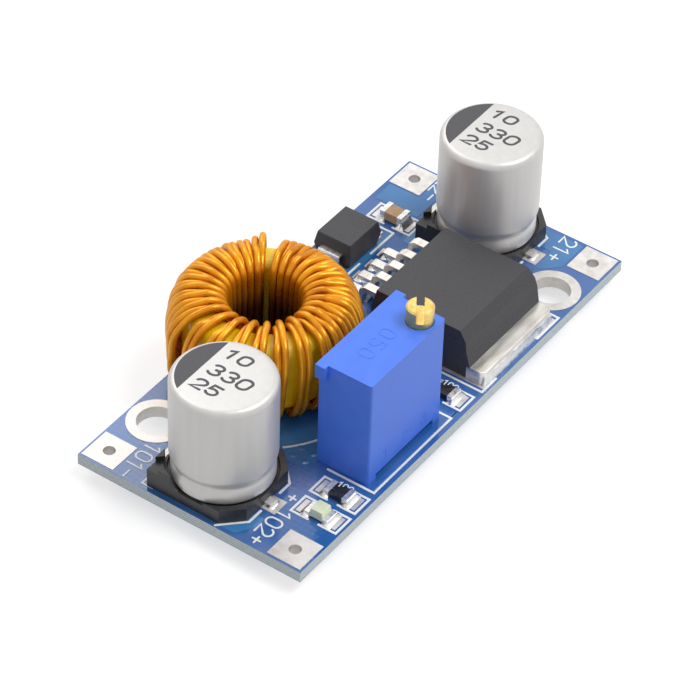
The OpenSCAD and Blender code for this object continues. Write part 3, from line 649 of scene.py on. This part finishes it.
can_ink = grained("can_print", (0.052, 0.050, 0.056), (0.070, 0.067, 0.075), 2600.0,
                  (0.45, 0.6), contrast=0.3)
PRINT_R, SEGMENT_FROM = 3.68, 1.95
print_low, print_high = deck + CAN_TOP - 0.004, deck + CAN_TOP + 0.012
for side in ("output", "input"):
    cx, cy = chip_at[side + "_capacitor_can"]
    chord = np.degrees(np.arcsin(SEGMENT_FROM / PRINT_R))
    slabs(side + "_can_segment", [sector(cx, cy, PRINT_R, chord, 180 - chord, 33)], print_low,
          print_high, can_ink)
    figures = written("10", (cx + 1.72, cy + 1.5), 1.0, (0, -1), 1.24, 0.2, 1.45)
    figures += written("330", (cx - 0.42, cy + 1.4), 1.15, (0, -1), 1.12, 0.2, 1.3)
    figures += written("25", (cx - 2.25, cy + 1.5), 1.05, (0, -1), 1.2, 0.2, 1.4)
    drawn(side + "_can_figures", figures, 0.23, print_low, print_high, can_ink)


def eased(node, material, width, angle=30, segments=2, body="board"):
    """A copy of a CAD node whose loose triangles are merged and flat faces joined, with the edges
    that turn by more than the angle rounded to a width in millimetres. It stands for the node."""
    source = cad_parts[node].data
    points = np.empty(len(source.vertices) * 3)
    source.vertices.foreach_get("co", points)
    corners = np.empty(len(source.loops), int)
    source.loops.foreach_get("vertex_index", corners)
    mesh = bpy.data.meshes.new(node + "_eased")
    mesh.from_pydata(points.reshape(-1, 3).tolist(), [], corners.reshape(-1, 3).tolist())
    work = bmesh.new()
    work.from_mesh(mesh)
    bmesh.ops.remove_doubles(work, verts=work.verts, dist=1e-6)
    bmesh.ops.dissolve_limit(work, angle_limit=np.radians(1.0), verts=work.verts,
                             edges=work.edges)
    work.to_mesh(mesh)
    work.free()
    mesh.materials.append(material)
    mesh.shade_smooth()
    piece = bpy.data.objects.new(node + "_eased", mesh)
    bpy.context.scene.collection.objects.link(piece)
    rounding = piece.modifiers.new("edges", "BEVEL")
    rounding.width = width * MM
    rounding.segments = segments
    rounding.limit_method = "ANGLE"
    rounding.angle_limit = np.radians(angle)
    rounding.harden_normals = True
    rides(piece, body)
    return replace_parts(piece, node)


base_plastic = grained("base_moulding", (0.013, 0.013, 0.014), (0.030, 0.030, 0.032), 2400.0,
                       (0.32, 0.5), 0.006, contrast=0.25)
for side in ("output", "input"):
    eased(side + "_capacitor_base", base_plastic, 0.07)
    eased(side + "_capacitor_leads", tinned, 0.03)


# ---------------------------------------------------------------- inductor
# A ring of pressed iron powder with yellow epoxy paint, wound by hand with two enamelled copper
# wires side by side. The wires' ends go down through two plated holes.

ring_paint = grained("ring_paint", (0.90, 0.60, 0.004), (1.0, 0.73, 0.008), 900.0, (0.28, 0.42),
                     0.012, contrast=0.2, Coat_Weight=0.3, Coat_Roughness=0.2)
RING_OUT, RING_IN, RING_TALL, RING_LIFT = 6.35, 3.85, 6.35, 0.9
OUT_EDGE, IN_EDGE = 0.9, 0.6
ring_z = deck + RING_LIFT
ring_profile = np.concatenate([
    sector(RING_OUT - OUT_EDGE, OUT_EDGE, OUT_EDGE, -90, 0, 9),
    sector(RING_OUT - OUT_EDGE, RING_TALL - OUT_EDGE, OUT_EDGE, 0, 90, 9),
    sector(RING_IN + IN_EDGE, RING_TALL - IN_EDGE, IN_EDGE, 90, 180, 7),
    sector(RING_IN + IN_EDGE, IN_EDGE, IN_EDGE, 180, 270, 7)]) + (0, ring_z)
core = turned("inductor_core_painted", ring_profile, [(ring_x, ring_y)], ring_paint,
              96)
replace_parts(core, "inductor_core")

# The winding: 29 turns of the pair, close together but for the open sector. Angles are degrees.
WIRE, WIRE_GAP, BULGE = 0.56, 0.05, 0.62
away = WIRE / 2 + WIRE_GAP
low_run, high_run = -away, RING_TALL + away
middle = (RING_OUT + RING_IN) / 2
TURNS, WOUND_FROM, SPREAD_FROM, SPREAD_TO, CLOSE, SPREAD = 29, 36.0, 148.0, 257.0, 10.9, 7
PAIR_STEP, PAIR_FAN = 4.9, 0.55
LOOSE_AT, LOOSE_BY, LIFTED_AT, LIFTED_BY = 149, 0.5, 39, 0.6
turn_path = np.array([
    (RING_OUT + away + BULGE ** 2, 1.1), (RING_OUT + away + BULGE, RING_TALL * 0.5),
    (RING_OUT + away + BULGE ** 2, RING_TALL - 1), (RING_OUT - 0.05, high_run - 0.12),
    (middle, high_run + 0.06), (RING_IN + 0.5, high_run), (RING_IN - 0.22, high_run - 0.42),
    (RING_IN - away, RING_TALL - 1.3), (RING_IN - away, 1.3), (RING_IN - 0.22, low_run + 0.42),
    (RING_IN + 0.5, low_run), (middle, low_run - 0.02), (RING_OUT - 0.05, low_run + 0.12)])
second_shift = np.array([
    (0, 0), (0, 0), (0, 0), (0, 0.03), (0, 0.24), (0, 0.38), (-0.32, 0.26), (-0.46, 0),
    (-0.46, 0), (-0.42, -0.2), (0, -0.29), (0, -0.22), (0, -0.03)])
STATIONS = len(turn_path)
tail_holes = np.array([(2.25, 6.8), (1.2, 9.2)])
tail_side = (WIRE / 2 + 0.01) * np.array([-0.55, 0.835, 0])


def wound(second, seed):
    """Centreline of one wire and the direction along the ring at each point. Every turn passes
    the same stations round the ring's section. The angle grows evenly where the turns lie close
    and faster over the open sector, one turn bulges and one lifts as bell curves of the angle,
    and a small seeded slack is added."""
    n = np.arange(TURNS * STATIONS + 1)
    i, t = n % STATIONS, n / STATIONS
    first = (SPREAD_FROM - WOUND_FROM) / CLOSE
    angle = WOUND_FROM + CLOSE * np.minimum(t, first)
    angle += np.clip(t - first, 0, SPREAD) * (SPREAD_TO - SPREAD_FROM) / SPREAD
    angle += CLOSE * np.maximum(t - first - SPREAD, 0)
    path = turn_path[i] + second * second_shift[i]
    angle += second * (PAIR_STEP
                       + PAIR_FAN * (RING_OUT - turn_path[i, 0]) / (RING_OUT - RING_IN))
    path[:, 0] += (i < 3) * LOOSE_BY * np.exp(-((angle - LOOSE_AT) / 5) ** 2)
    path[:, 1] += np.isin(i, (3, 4)) * LIFTED_BY * np.exp(-((angle - LIFTED_AT) / 4) ** 2)
    chance = np.random.default_rng(seed)
    angle += chance.normal(0, 0.45, len(n)) * np.isin(i, (1, 3, 4, 5))
    path[:, 0] += np.abs(chance.normal(0, 0.05, len(n))) * np.isin(i, (0, 1, 2))
    path[:, 1] += np.abs(chance.normal(0, 0.05, len(n))) * np.isin(i, (3, 4, 5))
    a = np.radians(angle)
    points = np.stack([ring_x + path[:, 0] * np.cos(a), ring_y + path[:, 0] * np.sin(a),
                       ring_z + path[:, 1]], 1)
    along = np.stack([-np.sin(a), np.cos(a), 0 * a], 1)
    ends = [np.array([(*h, -1.0), (*h, deck + 0.35)]) + (2 * second - 1) * tail_side
            for h in tail_holes]
    side = np.tile(tail_side / np.linalg.norm(tail_side), (2, 1))
    return (np.concatenate([ends[1], points, ends[0][::-1]]),
            np.concatenate([side, along, side]))


def smoothed(points, steps):
    """A cubic curve through the points, whose first three columns are places. Its parameter grows
    with the square root of each chord, and its slope at a point is the weighted mean of the
    slopes before and after it."""
    chord = np.linalg.norm(np.diff(points[:, :3], axis=0), axis=1) ** 0.5
    slope = np.diff(points, axis=0) / chord[:, None]
    before, after = chord[:-1, None], chord[1:, None]
    inner = (slope[:-1] * after + slope[1:] * before) / (before + after)
    slopes = np.concatenate([slope[:1], inner, slope[-1:]])
    s = (np.arange(steps) / steps)[None, :, None]
    a, b = points[:-1, None], points[1:, None]
    ma, mb = slopes[:-1, None] * chord[:, None, None], slopes[1:, None] * chord[:, None, None]
    curve = ((2 * s ** 3 - 3 * s ** 2 + 1) * a + (s ** 3 - 2 * s ** 2 + s) * ma
             + (3 * s ** 2 - 2 * s ** 3) * b + (s ** 3 - s ** 2) * mb)
    return np.concatenate([curve.reshape(-1, points.shape[1]), points[-1:]])


def wire_skin(centre, side, radius, sides):
    """A round skin along a centreline: circles square to the line, joined in order, with a flat
    disc at both ends. The side directions keep the circles from twisting."""
    ahead = np.gradient(centre, axis=0)
    ahead /= np.linalg.norm(ahead, axis=1)[:, None]
    out = np.cross(ahead, side)
    out /= np.linalg.norm(out, axis=1)[:, None]
    across = np.cross(out, ahead)
    angles = np.arange(sides) * 2 * np.pi / sides
    points = (centre[:, None] + radius * (np.cos(angles)[None, :, None] * across[:, None]
                                          + np.sin(angles)[None, :, None] * out[:, None]))
    i, k = np.meshgrid(np.arange(len(centre) - 1), np.arange(sides), indexing="ij")
    m = (k + 1) % sides
    faces = np.stack([i * sides + k, (i + 1) * sides + k, (i + 1) * sides + m, i * sides + m],
                     -1).reshape(-1, 4).tolist()
    last = (len(centre) - 1) * sides
    faces += [list(range(sides)), [last + j for j in range(sides)][::-1]]
    return points.reshape(-1, 3), faces


# Enamelled copper, amber with a random tone. Below, its colour also gets painted shade down inside
# the ring's hole.
enamel_with_painted_shade = grained("wire_enamel_with_painted_shade", (0.62, 0.20, 0.004), (0.90, 0.40, 0.012), 500.0, (0.24, 0.34),
                 0.002, contrast=0.22, metallic=0.35, detail=3.0, Specular_IOR_Level=0.9,
                 Specular_Tint=(1.0, 0.72, 0.26, 1), Coat_Weight=0.08, Coat_Roughness=0.12)


def tone_by(tree, value, low, high):
    """Rises smoothly from 0 to 1 while a node's value goes from low to high."""
    ramp = tree.nodes.new("ShaderNodeMapRange")
    ramp.interpolation_type = "SMOOTHSTEP"
    ramp.inputs["From Min"].default_value = low
    ramp.inputs["From Max"].default_value = high
    tree.links.new(value, ramp.inputs["Value"])
    return ramp.outputs["Result"]


def paint_shade_in_hole(material, dark, reach, rise):
    """Paints shade into a material's colour in the ring's hole: the colour turns towards a dark one
    there, which stands in for the shade and dim reflections down the hole. It is all dark within
    the first reach of the axis and below the first rise, and unchanged past either's second value."""
    tree = material.node_tree
    shader = tree.nodes["Principled BSDF"]
    place = tree.nodes.new("ShaderNodeTexCoord")
    split = tree.nodes.new("ShaderNodeSeparateXYZ")
    flat = tree.nodes.new("ShaderNodeCombineXYZ")
    out = tree.nodes.new("ShaderNodeVectorMath")
    out.operation = "DISTANCE"
    out.inputs[1].default_value = (ring_x * MM, ring_y * MM, 0)
    lit = tree.nodes.new("ShaderNodeMath")
    lit.operation = "MAXIMUM"
    tint = tree.nodes.new("ShaderNodeMix")
    tint.data_type = "RGBA"
    tint.inputs["A"].default_value = (*dark, 1)
    tree.links.new(place.outputs["Object"], split.inputs[0])
    for axis in "XY":
        tree.links.new(split.outputs[axis], flat.inputs[axis])
    tree.links.new(flat.outputs[0], out.inputs[0])
    tree.links.new(tone_by(tree, out.outputs["Value"], *reach), lit.inputs[0])
    tree.links.new(tone_by(tree, split.outputs["Z"], *rise), lit.inputs[1])
    tree.links.new(lit.outputs[0], tint.inputs["Factor"])
    tree.links.new(shader.inputs["Base Color"].links[0].from_socket, tint.inputs["B"])
    tree.links.new(tint.outputs["Result"], shader.inputs["Base Color"])


# Painted shade: the enamel turns dark brown down inside the ring's hole. The real wire has one
# colour all round, and this dark stands in for the ring's own shade there.
paint_shade_in_hole(enamel_with_painted_shade, (0.10, 0.022, 0.002), (3.75 * MM, 4.3 * MM),
         ((ring_z + 2.4) * MM, (ring_z + RING_TALL + 0.3) * MM))
CURVE_STEPS, WIRE_SIDES, FIRST_SEED = 6, 10, 11
for index, letter in enumerate("ab"):
    line = smoothed(np.hstack(wound(index, FIRST_SEED + index)), CURVE_STEPS)
    points, faces = wire_skin(line[:, :3], line[:, 3:], WIRE / 2, WIRE_SIDES)
    wire = built("inductor_strand_" + letter, points * MM, faces, enamel_with_painted_shade,
                 smooth=60)
    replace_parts(wire, "inductor_wire_" + letter)


# ---------------------------------------------------------------- trimmer
# A multiturn trimmer: a housing moulded in blue thermoplastic, with a brass lead screw, a nylon
# carriage with a sprung bronze contact, and a ceramic element inside. It is sealed below in resin.

trimmer_blue = grained("trimmer_moulding", (0.065, 0.190, 0.82), (0.085, 0.225, 0.90), 700.0,
                       (0.36, 0.46), 0.006, contrast=0.3, Specular_IOR_Level=0.4)
eased("trimmer_housing", trimmer_blue, 0.11)
TRIMMER_TALL, PIN_PITCH = 10.03, 2.54
top_of_trimmer = deck + TRIMMER_TALL
raised = written("050", (tx + 1.2, ty + 0.75), 1.3, (-1, 0), 1.05)
drawn("trimmer_top_figures", raised, 0.13, top_of_trimmer - 0.02, top_of_trimmer + 0.03,
      trimmer_blue)
front_of_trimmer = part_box("trimmer_housing")[0].y / MM


def on_front(points):
    """Stands flat figures up on the trimmer's long side: height becomes depth out of the face."""
    return np.stack([points[:, 0], front_of_trimmer + 0.02 - points[:, 2], points[:, 1]], 1)


pin_figures = []
for index, figure in enumerate("123"):
    pin_figures += written(figure, (tx + PIN_PITCH * (index - 1) - 0.35, deck + 1.2), 1.0, (1, 0))
drawn("trimmer_side_figures", pin_figures, 0.12, 0.0, 0.045, trimmer_blue,
      on_front)

brass = grained("screw_brass_turned", (0.66, 0.44, 0.11), (0.86, 0.64, 0.24), 2600.0,
                (0.24, 0.4), 0.006, contrast=0.22, stretch=(1, 1, 4), metallic=0.95)
eased("trimmer_screw", brass, 0.05, body="screw")
dress("trimmer_screw_seal", grained("ring_rubber", (0.010, 0.010, 0.010), (0.03, 0.03, 0.03),
                                    4000.0, (0.5, 0.7), 0.004))
eased("trimmer_carriage", grained("carriage_nylon", (0.74, 0.71, 0.62), (0.86, 0.83, 0.75),
                                  1500.0, (0.35, 0.5), 0.004, Subsurface_Weight=0.1,
                                  Subsurface_Scale=0.0005), 0.05,
      body="carriage")
eased("trimmer_wiper", grained("wiper_bronze", (0.60, 0.34, 0.14), (0.80, 0.50, 0.24), 3000.0,
                               (0.22, 0.36), 0.003, metallic=0.95), 0.02,
      body="carriage")
dress("trimmer_element", grained("alumina", (0.80, 0.80, 0.78), (0.92, 0.92, 0.90), 3500.0,
                                 (0.55, 0.75), 0.004))
dress("trimmer_track", grained("track_ink", (0.02, 0.02, 0.025), (0.06, 0.06, 0.065), 5000.0,
                               (0.4, 0.6), 0.004))
dress("trimmer_base_seal", grained("seal_resin", (0.45, 0.40, 0.26), (0.62, 0.56, 0.40), 1200.0,
                                   (0.3, 0.5), 0.03))
bright_tin = grained("bright_tin", (0.66, 0.65, 0.63), (0.84, 0.83, 0.81), 2200.0, (0.2, 0.34),
                     0.003, metallic=0.95)
dress("trimmer_pins", bright_tin)


# ---------------------------------------------------------------- solder in the holes
# Solder drawn through the plated holes of the wires and pins. Under the board it stands as
# hollow cones round the leads, and above it lies level with the lands.

solder = grained("solder", (0.60, 0.60, 0.595), (0.82, 0.82, 0.81), 1300.0, (0.16, 0.34), 0.006,
                 contrast=0.18, metallic=0.95)


LAND_TALL = 0.04
land_top = deck + LAND_TALL


def cone(tip_r, land_r, hole_r, tall):
    """Profile of solder in a hole. Below the land its radius shrinks from the land to the lead
    with the square of the way down, which leaves the side hollow."""
    s = np.linspace(0, 1, 9)
    flank = np.stack([tip_r + (land_r - tip_r) * s ** 2, -LAND_TALL - tall * (1 - s)], 1)
    return np.concatenate([[(0, -LAND_TALL - tall)], flank,
                           [(hole_r, -LAND_TALL), (hole_r, land_top)],
                           [(hole_r * 0.7, deck + 0.07), (0, deck + 0.08)]])


joint = turned("wire_joints", cone(0.60, 0.99, 0.62, 0.71), tail_holes, solder, 40)
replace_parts(joint, "inductor_solder")
pin_holes = [(tx + PIN_PITCH * i, ty) for i in (-1, 0, 1)]
joint = turned("pin_joints", cone(0.36, 0.79, 0.45, 0.66), pin_holes, solder, 32)
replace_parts(joint, "trimmer_solder")


# ---------------------------------------------------------------- regulator
# A surface-mount power package: black epoxy moulded over a copper tab, with five gull-wing leads
# cut and bent from the same tinned strip. The mould leaves an even spark-eroded grain.

package_resin = grained("package_resin", (0.030, 0.029, 0.033), (0.056, 0.054, 0.060), 5200.0,
                        (0.50, 0.66), 0.010, contrast=0.25, detail=2.0)
eased("regulator_body", package_resin, 0.09, angle=20)
tab_metal = grained("tab_tin", (0.62, 0.585, 0.53), (0.86, 0.83, 0.78), 1700.0, (0.26, 0.44),
                    0.006, contrast=0.2, stretch=(0.25, 1, 1), metallic=0.9)
eased("regulator_tab", tab_metal, 0.06)
eased("regulator_leads", tab_metal, 0.06, angle=25)


def mounds(name, feet, material, lanes=6):
    """Solder round flat feet. Each foot is a centre, half sizes, reach and rise over the lands in
    millimetres: a rounded rectangle that grows by reach times the square of one less the share
    of its height, so that the flank is hollow."""
    around, edge, foot_z = 16, 0.06, land_top - 0.03
    corner = np.radians(np.linspace(0, 90, around // 4))
    s = np.linspace(0, 1, lanes)
    points, faces = [], []
    for cx, cy, hx, hy, reach, rise in feet:
        start = len(points)
        for g, z in zip(reach * (1 - s) ** 2, foot_z + (land_top + rise - foot_z) * s):
            for quarter, (sx, sy) in enumerate(((1, 1), (-1, 1), (-1, -1), (1, -1))):
                a = corner + quarter * np.pi / 2
                points += np.stack([cx + sx * (hx - edge) + (edge + g) * np.cos(a),
                                    cy + sy * (hy - edge) + (edge + g) * np.sin(a),
                                    np.full(len(a), z)], 1).tolist()
        i, k = np.meshgrid(np.arange(lanes - 1) * around, np.arange(around), indexing="ij")
        m = (k + 1) % around
        faces += (start + np.stack([i + k, i + m, i + around + m, i + around + k],
                                   -1)).reshape(-1, 4).tolist()
        faces.append([start + j for j in range(around)][::-1])
        faces.append([start + (lanes - 1) * around + j for j in range(around)])
    return built(name, np.array(points) * MM, faces, material, smooth=40)


LEAD_PITCH = 1.7
body_low, body_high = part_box("regulator_body")
rx = (body_low.x + body_high.x) / 2 / MM
feet = [(rx + LEAD_PITCH * i, 4.2, 0.42, 1.05, 0.1, 0.2) for i in range(-2, 3)]
feet += [(rx + LEAD_PITCH * i, 5.14, 0.38, 0.1, 0.34, 0.4) for i in range(-2, 3)]
feet += [(rx, -9.82, 4.7, 0.08, 0.16, 0.75)]
joint = mounds("regulator_joints", feet, solder)
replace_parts(joint, "regulator_solder")


# ---------------------------------------------------------------- rectifier diode
# A black epoxy block moulded round two flat terminals of tinned copper, which are folded down
# its ends and under it.

eased("diode_body", package_resin, 0.06, angle=20)
eased("diode_terminals", bright_tin, 0.035)
feet = [(dx + side * 2.45, dy, 0.35, 1.02, 0.32, 0.2) for side in (-1, 1)]
feet += [(dx + side * 2.72, dy, 0.06, 0.95, 0.36, 0.7) for side in (-1, 1)]
joint = mounds("diode_joints", feet, solder)
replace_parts(joint, "diode_solder")


# ---------------------------------------------------------------- chip parts
# A ceramic capacitor, two thick-film resistors and a light-emitting diode, each soldered by its
# metal ends. The resistors carry plain white figures.

chip_metal = grained("chip_metal", (0.66, 0.65, 0.64), (0.84, 0.83, 0.82), 3000.0, (0.24, 0.4),
                     0.004, metallic=0.85)
eased("ceramic_capacitor_body", grained("fired_ceramic", (0.42, 0.26, 0.13), (0.56, 0.37, 0.20),
                                        2600.0, (0.38, 0.55), 0.006), 0.05)
resistor_glaze = grained("resistor_glaze", (0.010, 0.010, 0.012), (0.026, 0.026, 0.03), 2800.0,
                         (0.2, 0.36), 0.004)
for name in ("led_resistor", "feedback_resistor"):
    eased(name + "_body", resistor_glaze, 0.03)
    cx, cy = chip_at[name + "_body"]
    glaze_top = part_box(name + "_body")[1].z / MM
    drawn(name + "_figures", written("100", (cx + 0.28, cy + 0.52), 0.55, (0, -1), 0.85), 0.085,
          glaze_top - 0.01, glaze_top + 0.006, white_ink)
for name in ("ceramic_capacitor", "led_resistor", "feedback_resistor", "indicator_led"):
    eased(name + "_ends", chip_metal, 0.03)
eased("indicator_led_base", grained("led_base", (0.70, 0.70, 0.62), (0.84, 0.84, 0.77), 2500.0,
                                    (0.45, 0.6), 0.004), 0.03)
eased("indicator_led_lens", grained("led_resin", (0.62, 0.74, 0.46), (0.80, 0.88, 0.66), 1400.0,
                                    (0.10, 0.2), 0.004, Coat_Weight=0.5, Coat_Roughness=0.05,
                                    Subsurface_Weight=0.3, Subsurface_Scale=0.0004),
      0.06, segments=3)

feet = []
for name, tall in (("ceramic_capacitor_body", 0.6), ("indicator_led_base", 0.28),
                   ("led_resistor_body", 0.35), ("feedback_resistor_body", 0.35)):
    cx, cy = chip_at[name]
    feet += [(cx, cy + side, 0.64, 0.1, 0.36, tall) for side in (-1, 1)]
for name in ("output_capacitor_can", "input_capacitor_can"):
    cx, cy = chip_at[name]
    feet += [(cx, cy + side * 4.6, 0.4, 0.16, 0.22, 0.2) for side in (-1, 1)]
joint = mounds("chip_joints", feet, solder)
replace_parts(joint, "chip_solder")
